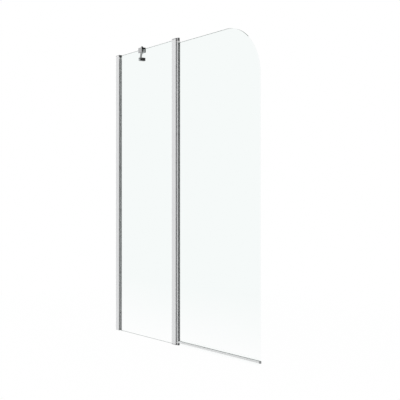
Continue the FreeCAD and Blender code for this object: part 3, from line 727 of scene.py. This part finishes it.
def turned_mesh(name, steps, socket=0.0, depth=0.0):
    """Turned shape about Z through (radius, height, rounding) steps, with a hexagon socket."""
    count = bpy.context.scene.screen_sizes.round_steps
    profile = [(p.x, p.y) for p in rounded(steps, closed=False)]
    shape = bmesh.new()
    rings = []
    turns = [2 * math.pi * i / count for i in range(count)]
    for radius, height in profile:
        rings.append([(radius * math.cos(t), radius * math.sin(t), height) for t in turns])
    if socket:
        top = profile[-1][1]
        sector = math.pi / 3
        reach = [socket / 2 / math.cos((t % sector) - sector / 2) for t in turns]
        for rim, height in ((1.0 + SOCKET_CHAMFER, top), (1.0, top - SOCKET_CHAMFER * depth),
                            (1.0, top - depth)):
            rings.append([(rim * r * math.cos(t), rim * r * math.sin(t), height)
                          for r, t in zip(reach, turns)])
    made = [[shape.verts.new(place) for place in ring] for ring in rings]
    for lower, upper in zip(made, made[1:]):
        for i in range(count):
            j = (i + 1) % count
            shape.faces.new((lower[i], lower[j], upper[j], upper[i]))
    shape.faces.new(list(reversed(made[0])))
    shape.faces.new(made[-1])
    bmesh.ops.recalc_face_normals(shape, faces=shape.faces)
    mesh = bpy.data.meshes.new(name)
    shape.to_mesh(mesh)
    shape.free()
    return mesh


def seated(name, node, mesh, seats):
    """Row of one fastener at seats of (place, way that it points), in the place of a node."""
    source = bpy.data.meshes.new(name + "_seats")
    source.from_pydata([place for place, _ in seats], [], [])
    aims = source.attributes.new("aim", "FLOAT_VECTOR", "POINT")
    aims.data.foreach_set("vector", [part for _, way in seats for part in way])
    points = new_object(name + "_seats", source)
    pattern = new_object(name + "_pattern", mesh)
    run_nodes(points, fastener_tree(), Fastener=pattern, Finish=finish(SLOTS[node]),
              Seed=bpy.context.scene.screen_sizes.seed)
    piece = made_plain(points, name)
    bpy.data.objects.remove(pattern)
    return settle(piece, node)


# Pieces

def pane(name, node, corners, level=0.75, broad=0.95):
    """Pane of glass with a polished arris, its level edges in the ground finish.

    An edge face is level where its normal has more than that share of Z, and a face belongs
    to the pane's two broad sides where its normal has at least that share of Y.
    """
    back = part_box(node)[1].y
    sizes = bpy.context.scene.screen_sizes
    piece = extruded(name, node, [rounded(corners)], INTO_BATH, ACROSS_Y, sizes.arris,
                     foot=(0.0, back, 0.0))
    piece.data.materials.append(finish("glass_edge"))
    piece.data.materials.append(finish("polished_edge"))
    for face in piece.data.polygons:
        if abs(face.normal.z) > level:
            face.material_index = 1
        elif abs(face.normal.y) < broad:
            face.material_index = 2
    piece.visible_shadow = False
    return piece


class PanesOperator(bpy.types.Operator):
    """Make both panes of glass with polished arrises"""
    bl_idname = "bath_screen.panes"
    bl_label = "Panes"

    def execute(self, context):
        sizes = context.scene.screen_sizes
        low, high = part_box("fixed_glass")
        pane("fixed_pane", "fixed_glass",
             [(low.x, low.z), (high.x, low.z), (high.x, high.z), (low.x, high.z)])
        low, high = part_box("door_glass")
        pane("door_pane", "door_glass", [
            (low.x, low.z),
            (high.x, low.z, sizes.foot_corner),
            (high.x, high.z, sizes.door_corner),
            (low.x, high.z),
        ])
        return {"FINISHED"}


class ProfilesOperator(bpy.types.Operator):
    """Make the wall profiles, the hinge post and the door's round-nosed profile"""
    bl_idname = "bath_screen.profiles"
    bl_label = "Profiles"

    def execute(self, context):
        edge = context.scene.screen_sizes.extruded_edge
        for node in ("wall_channel", "wall_glazing_profile", "hinge_post"):
            softened(node + "_extrusion", node, edge, 2)
        low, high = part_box("door_profile")
        nose = (high.y - low.y) / 2
        nearly_half_round = nose * 0.999
        pocket = 4.0 * MM
        floor = low.x + 2.8 * MM
        slant = 1.2 * MM
        outer_rim = 0.4 * MM
        inner_rim = 0.15 * MM
        extruded("door_profile_extrusion", "door_profile", [rounded(mirrored([
            (low.x, nose, nearly_half_round),
            (high.x, nose, outer_rim),
            (high.x, pocket, inner_rim),
            (floor + slant, pocket),
            (floor, pocket - slant),
        ]))], UP)
        return {"FINISHED"}


class CapsOperator(bpy.types.Operator):
    """Make the hinge caps, the wall profile's cap and plug, and the pivot bushes"""
    bl_idname = "bath_screen.caps"
    bl_label = "Caps and bushes"

    def execute(self, context):
        sizes = context.scene.screen_sizes
        for node in ("hinge_top_cap", "hinge_bottom_cap"):
            softened(node + "_casting", node, sizes.cast_edge)
        softened("wall_top_cap_casting", "wall_top_cap", sizes.fine_edge, hold_back=True)
        low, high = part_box("fixed_glass")
        slot_side = high.y + 0.6 * MM
        slot_end = low.x - 1.0 * MM
        slot_roof = high.z + 0.5 * MM
        outward = 0.5                  # share of +X in the normal of the skirt's outer face
        repaint("wall_top_cap_casting", "raw_casting",
                lambda face: abs(face.center.y) < slot_side and face.center.x > slot_end
                and face.center.z < slot_roof and face.normal.x < outward)
        for node in ("wall_top_plug", "top_pivot_bush", "bottom_pivot_bush"):
            softened(node + "_moulding", node, sizes.fine_edge, hold_back=True)
        return {"FINISHED"}


class GasketsOperator(bpy.types.Operator):
    """Make the glazing gaskets and the lip seal between post and door"""
    bl_idname = "bath_screen.gaskets"
    bl_label = "Gaskets"

    def execute(self, context):
        for node in ("wall_glazing_gasket", "post_glazing_gaskets", "post_lip_seal",
                     "door_glazing_gasket"):
            extruded(node + "_strip", node, section_loops(node, 2), UP)
        repaint("wall_glazing_gasket_strip", "pale_rubber", lambda face: True)
        return {"FINISHED"}


class BottomSealOperator(bpy.types.Operator):
    """Make the seal under the door: rail, clip, curved fins and end cap"""
    bl_idname = "bath_screen.bottom_seal"
    bl_label = "Bottom seal"

    def execute(self, context):
        for node in ("door_seal_rail", "door_seal_clip", "door_seal_fins"):
            extruded(node + "_strip", node, section_loops(node, 0), TO_FREE_END, ALONG_X)
        sizes = context.scene.screen_sizes
        softened("seal_end_cap_moulding", "seal_end_cap", sizes.moulded_edge)
        return {"FINISHED"}


class BraceOperator(bpy.types.Operator):
    """Make the clamp, the brace bar and the wall bracket"""
    bl_idname = "bath_screen.brace"
    bl_label = "Brace"

    def execute(self, context):
        sizes = context.scene.screen_sizes
        softened("brace_bar_blank", "brace_bar", sizes.fine_edge, 2, hold_back=True)
        for node in ("clamp_body", "bracket_body"):
            softened(node + "_casting", node, sizes.cast_edge)
        softened("clamp_pressure_plate_blank", "clamp_pressure_plate", sizes.extruded_edge)
        softened("clamp_liner_strip", "clamp_liner", sizes.fine_edge, 2)
        repaint("clamp_liner_strip", "milky_pvc", lambda face: True)
        # Painted shade: the faces of the bracket's screw hole get a near-black colour.
        hole = next(m for m in frame["record"]["mounts"] if m["name"] == "bracket_screw")
        middle = Vector(hole["pos_m"]).yz
        bore = 4.95 * MM
        repaint("bracket_body_casting", "bore_painted_shade",
                lambda face: (face.center.yz - middle).length < bore)
        return {"FINISHED"}


# Turned fasteners, in millimetres. The tip is the radius of the inner end, chamfered up to the
# shank. The head runs from there to the outer end as (radius, depth below that end, rounding),
# and the socket is (width over its flats, depth).
TURNED = {
    "pan_head_screws": {
        "node": "profile_screws", "aim": INTO_BATH, "tip": 0.9, "chamfer": 1.2, "shank": 1.7,
        "head": [(1.7, 2.0), (3.8, 2.0), (3.8, 1.0, 0.4), (2.4, 0.0)], "socket": (2.5, 1.2)},
    "cap_screws": {
        "node": "hinge_cap_screws", "aim": None, "tip": 0.9, "chamfer": 1.0, "shank": 1.55,
        "head": [(1.55, 1.9), (3.1, 1.9), (3.1, 0.0, 0.3), (2.4, 0.0)], "socket": (2.5, 1.3)},
    "grub_screws": {
        "node": "clamp_grub_screws", "aim": INTO_BATH, "tip": 1.6, "chamfer": 0.6, "shank": 2.4,
        "head": [(2.4, 0.0, 0.3), (1.9, 0.0)], "socket": (2.5, 2.5)},
    "clamp_pin": {
        "node": "clamp_swivel_pin", "aim": UP, "tip": 2.0, "chamfer": 0.5, "shank": 2.5,
        "head": [(2.5, 7.7), (5.5, 7.7, 0.3), (5.5, 1.7, 1.2), (4.0, 0.0, 0.8), (2.6, 0.0)],
        "socket": (3.0, 1.5)},
    "bracket_pin": {
        "node": "bracket_swivel_pin", "aim": UP, "tip": 2.0, "chamfer": 0.5, "shank": 2.5,
        "head": [(2.5, 2.0), (4.5, 2.0, 0.2), (4.5, 0.0, 0.5), (2.6, 0.0)],
        "socket": (3.0, 1.4)},
}
for pin in ("top_pivot_pin", "bottom_pivot_pin"):
    TURNED[pin + "_turned"] = {
        "node": pin, "aim": UP, "tip": 1.6, "chamfer": 0.4, "shank": 2.0,
        "head": [(2.0, 0.4), (1.6, 0.0)], "socket": (0.0, 0.0)}


def fitted(name, node, way, steps, socket=0.0, depth=0.0):
    """Row of one turned fastener on a node's solids; its steps run up to its outer end at 0.

    Without a way, each points away from the middle of the row, up or down.
    """
    boxes = islands(node)
    middle = sum(((low + high) / 2 for low, high in boxes), Vector()) / len(boxes)
    seats = []
    for low, high in boxes:
        centre = (low + high) / 2
        aim = Vector(way) if way else Vector((0.0, 0.0, math.copysign(1.0, (centre - middle).z)))
        half = abs((high - low).dot(aim)) / 2
        seats.append((centre + aim * half, aim))
    return seated(name, node, turned_mesh(name, steps, socket, depth), seats)


def length_of(node, way):
    """Length of a node's lowest solid in a direction."""
    low, high = islands(node)[0]
    return (high - low).dot(Vector(way))


class FastenersOperator(bpy.types.Operator):
    """Make the screws, their cover caps and the pins"""
    bl_idname = "bath_screen.fasteners"
    bl_label = "Fasteners"

    def execute(self, context):
        rise = length_of("screw_cover_caps", INTO_BATH)
        radius = length_of("screw_cover_caps", UP) / 2
        wall = 1.5 * MM
        skirt = 0.6                    # share of the height that the cap's straight side takes
        crown = 0.72                   # share of the radius at which the crown ends
        fitted("cover_caps", "screw_cover_caps", INTO_BATH, [
            (radius - wall, -rise),
            (radius, -rise),
            (radius, -rise * (1 - skirt), 1.0 * MM),
            (radius * crown, 0.0, 3.0 * MM),
            (0.3 * MM, 0.0),
        ])
        for name, part in TURNED.items():
            reach = length_of(part["node"], part["aim"] or UP)
            head = [(across * MM, -below * MM, *(arc * MM for arc in rounding))
                    for across, below, *rounding in part["head"]]
            fitted(name, part["node"], part["aim"], [
                (part["tip"] * MM, -reach),
                (part["shank"] * MM, part["chamfer"] * MM - reach),
                *head,
            ], *(size * MM for size in part["socket"]))
        return {"FINISHED"}


# Stage

def add_lamp(name, place, target, power, size):
    """Square soft lamp that looks at a target and is not seen itself."""
    lamp = bpy.data.lights.new(name, "AREA")
    lamp.energy = power
    lamp.size = size
    made = new_object(name, lamp)
    made.location = place
    made.rotation_euler = (Vector(target) - Vector(place)).to_track_quat("-Z", "Y").to_euler()
    made.visible_camera = False
    made.visible_glossy = False
    made.visible_transmission = False


# What mirrors see round the screen: (angle from +X towards +Y in degrees, level of light)
MIRROR_BANDS = [
    (-180, 0.60), (-162, 0.90), (-144, 0.95), (-125, 0.90), (-105, 0.65), (-75, 0.40), (-50, 0.32),
    (-20, 0.14), (0, 0.0), (12, 0.0), (62, 0.0), (76, 0.08), (90, 0.42), (115, 0.42),
    (144, 0.34), (165, 0.48), (180, 0.60),
]
BAND_RISE = (1.02, 1.4)    # the bands' light at the first and the second slope above or below level
BAND_SLOPE = (0.05, 0.6)   # those slopes, as the share of Z in the direction
FLOOR_FADE = (0.8, 2.2)    # distances from the origin between which the floor turns full white
NEAR_WHITE = 0.97          # share of plain white in the floor close to the screen


def studio_world(stage):
    """World: white to the eye and through glass, banded light and dark in mirrors."""
    world = bpy.data.worlds.new("studio")
    bpy.context.scene.world = world
    world.use_nodes = True
    tree = world.node_tree
    tree.nodes.clear()
    way = add_node(tree, "ShaderNodeTexCoord").outputs["Generated"]
    parts = add_node(tree, "ShaderNodeSeparateXYZ", {"Vector": way}).outputs
    turn = maths(tree, "ARCTAN2", parts["Y"], parts["X"])
    share = spread(tree, turn, 0.0, 1.0, middle=(-math.pi, math.pi))
    bands = add_node(tree, "ShaderNodeValToRGB", {"Fac": share})
    ramp = bands.color_ramp
    while len(ramp.elements) < len(MIRROR_BANDS):
        ramp.elements.new(0.5)
    for element, (degrees, level) in zip(ramp.elements, MIRROR_BANDS):
        element.position = (degrees + 180.0) / 360.0
        element.color = (level, level, level, 1.0)
    slope = maths(tree, "ABSOLUTE", parts["Z"])
    rise = spread(tree, slope, *BAND_RISE, middle=BAND_SLOPE)
    raised = add_node(tree, "ShaderNodeMix", {
        "Factor": 1.0, "A": bands.outputs["Color"], "B": rise},
        data_type="RGBA", blend_type="MULTIPLY")
    path = add_node(tree, "ShaderNodeLightPath").outputs
    plain = add_node(tree, "ShaderNodeBackground", {"Color": WHITE, "Strength": stage.sky_light})
    white = add_node(tree, "ShaderNodeBackground", {"Color": WHITE, "Strength": 1.0})
    mirror = add_node(tree, "ShaderNodeBackground", {"Color": raised.outputs["Result"]})
    seen = maths(tree, "MAXIMUM", path["Is Camera Ray"], path["Is Transmission Ray"])
    lit = add_node(tree, "ShaderNodeMixShader", {
        0: path["Is Glossy Ray"], 1: plain.outputs[0], 2: mirror.outputs[0]})
    shown = add_node(tree, "ShaderNodeMixShader", {
        0: seen, 1: lit.outputs[0], 2: white.outputs[0]})
    add_node(tree, "ShaderNodeOutputWorld", {"Surface": shown.outputs[0]})


def white_floor(stage):
    """Pale floor that shows white and still takes a soft shadow near the screen."""
    material, tree, shader = surface("pale_floor")
    shader.inputs["Base Color"].default_value = (*stage.floor_colour, 1.0)
    shader.inputs["Roughness"].default_value = 0.9
    shader.inputs["Specular IOR Level"].default_value = 0.0
    place = add_node(tree, "ShaderNodeTexCoord").outputs["Object"]
    far = add_node(tree, "ShaderNodeVectorMath", {0: place}, operation="LENGTH").outputs["Value"]
    share = spread(tree, far, NEAR_WHITE, 1.0, middle=FLOOR_FADE)
    glow = add_node(tree, "ShaderNodeEmission", {"Color": WHITE, "Strength": 1.0})
    path = add_node(tree, "ShaderNodeLightPath").outputs
    seen = maths(tree, "MAXIMUM", path["Is Camera Ray"], path["Is Transmission Ray"])
    mixed = add_node(tree, "ShaderNodeMixShader", {
        0: maths(tree, "MULTIPLY", share, seen), 1: shader.outputs[0], 2: glow.outputs[0]})
    wire(tree, tree.nodes["Material Output"], Surface=mixed.outputs[0])
    return material


class StageOperator(bpy.types.Operator):
    """Make the floor, the light and the camera"""
    bl_idname = "bath_screen.stage"
    bl_label = "Stage"

    def execute(self, context):
        stage = context.scene.screen_stage
        scene = context.scene
        scene.view_settings.view_transform = "Standard"
        low, high = CAD_BOX
        middle = (low + high) / 2
        half = stage.floor_half
        z = low.z - stage.floor_drop
        mesh = bpy.data.meshes.new("floor")
        mesh.from_pydata([(-half, -half, z), (half, -half, z), (half, half, z), (-half, half, z)],
                         [], [(0, 1, 2, 3)])
        mesh.transform(Matrix.Translation((middle.x, middle.y, 0.0)))
        mesh.materials.append(white_floor(stage))
        floor = new_object("floor", mesh)
        floor.visible_glossy = False
        studio_world(stage)
        add_lamp("left_lamp", stage.lamp_place, middle, stage.lamp_power, stage.lamp_size)
        camera = bpy.data.cameras.new("camera")
        camera.sensor_width = FILM
        camera.lens = stage.lens
        shown = new_object("camera", camera)
        shown.location = stage.camera_place
        shown.rotation_euler = (QUARTER + stage.pitch, 0.0, stage.heading)
        scene.camera = shown
        return {"FINISHED"}


class ScreenPanel(bpy.types.Panel):
    """Lists the pieces of the screen and the stage"""
    bl_idname = "VIEW3D_PT_bath_screen"
    bl_label = "Bath Screen"
    bl_space_type = "VIEW_3D"
    bl_region_type = "UI"
    bl_category = "Bath Screen"

    def draw(self, context):
        for operator in OPERATORS:
            self.layout.operator(operator.bl_idname)
        for group in (context.scene.screen_sizes, context.scene.screen_finishes,
                      context.scene.screen_stage):
            box = self.layout.box()
            for name in group.__annotations__:
                box.prop(group, name)


OPERATORS = (
    PanesOperator,
    ProfilesOperator,
    CapsOperator,
    GasketsOperator,
    BottomSealOperator,
    BraceOperator,
    FastenersOperator,
    StageOperator,
)
GROUPS = {
    "screen_sizes": ScreenSizes,
    "screen_finishes": ScreenFinishes,
    "screen_stage": StageSettings,
}


def register():
    """Register the groups of settings, the operators and the panel."""
    for group in GROUPS.values():
        bpy.utils.register_class(group)
    for name, group in GROUPS.items():
        setattr(bpy.types.Scene, name, PointerProperty(type=group))
    for operator in OPERATORS:
        bpy.utils.register_class(operator)
    bpy.utils.register_class(ScreenPanel)


def unregister():
    """Take back what register did."""
    bpy.utils.unregister_class(ScreenPanel)
    for operator in reversed(OPERATORS):
        bpy.utils.unregister_class(operator)
    for name, group in GROUPS.items():
        delattr(bpy.types.Scene, name)
        bpy.utils.unregister_class(group)


def main():
    """Register the groups of settings, the operators and the panel, then make every piece and the
    stage.
    """
    register()
    for operator in OPERATORS:
        category, name = operator.bl_idname.split(".")
        getattr(getattr(bpy.ops, category), name)()


if __name__ == "__main__":
    main()
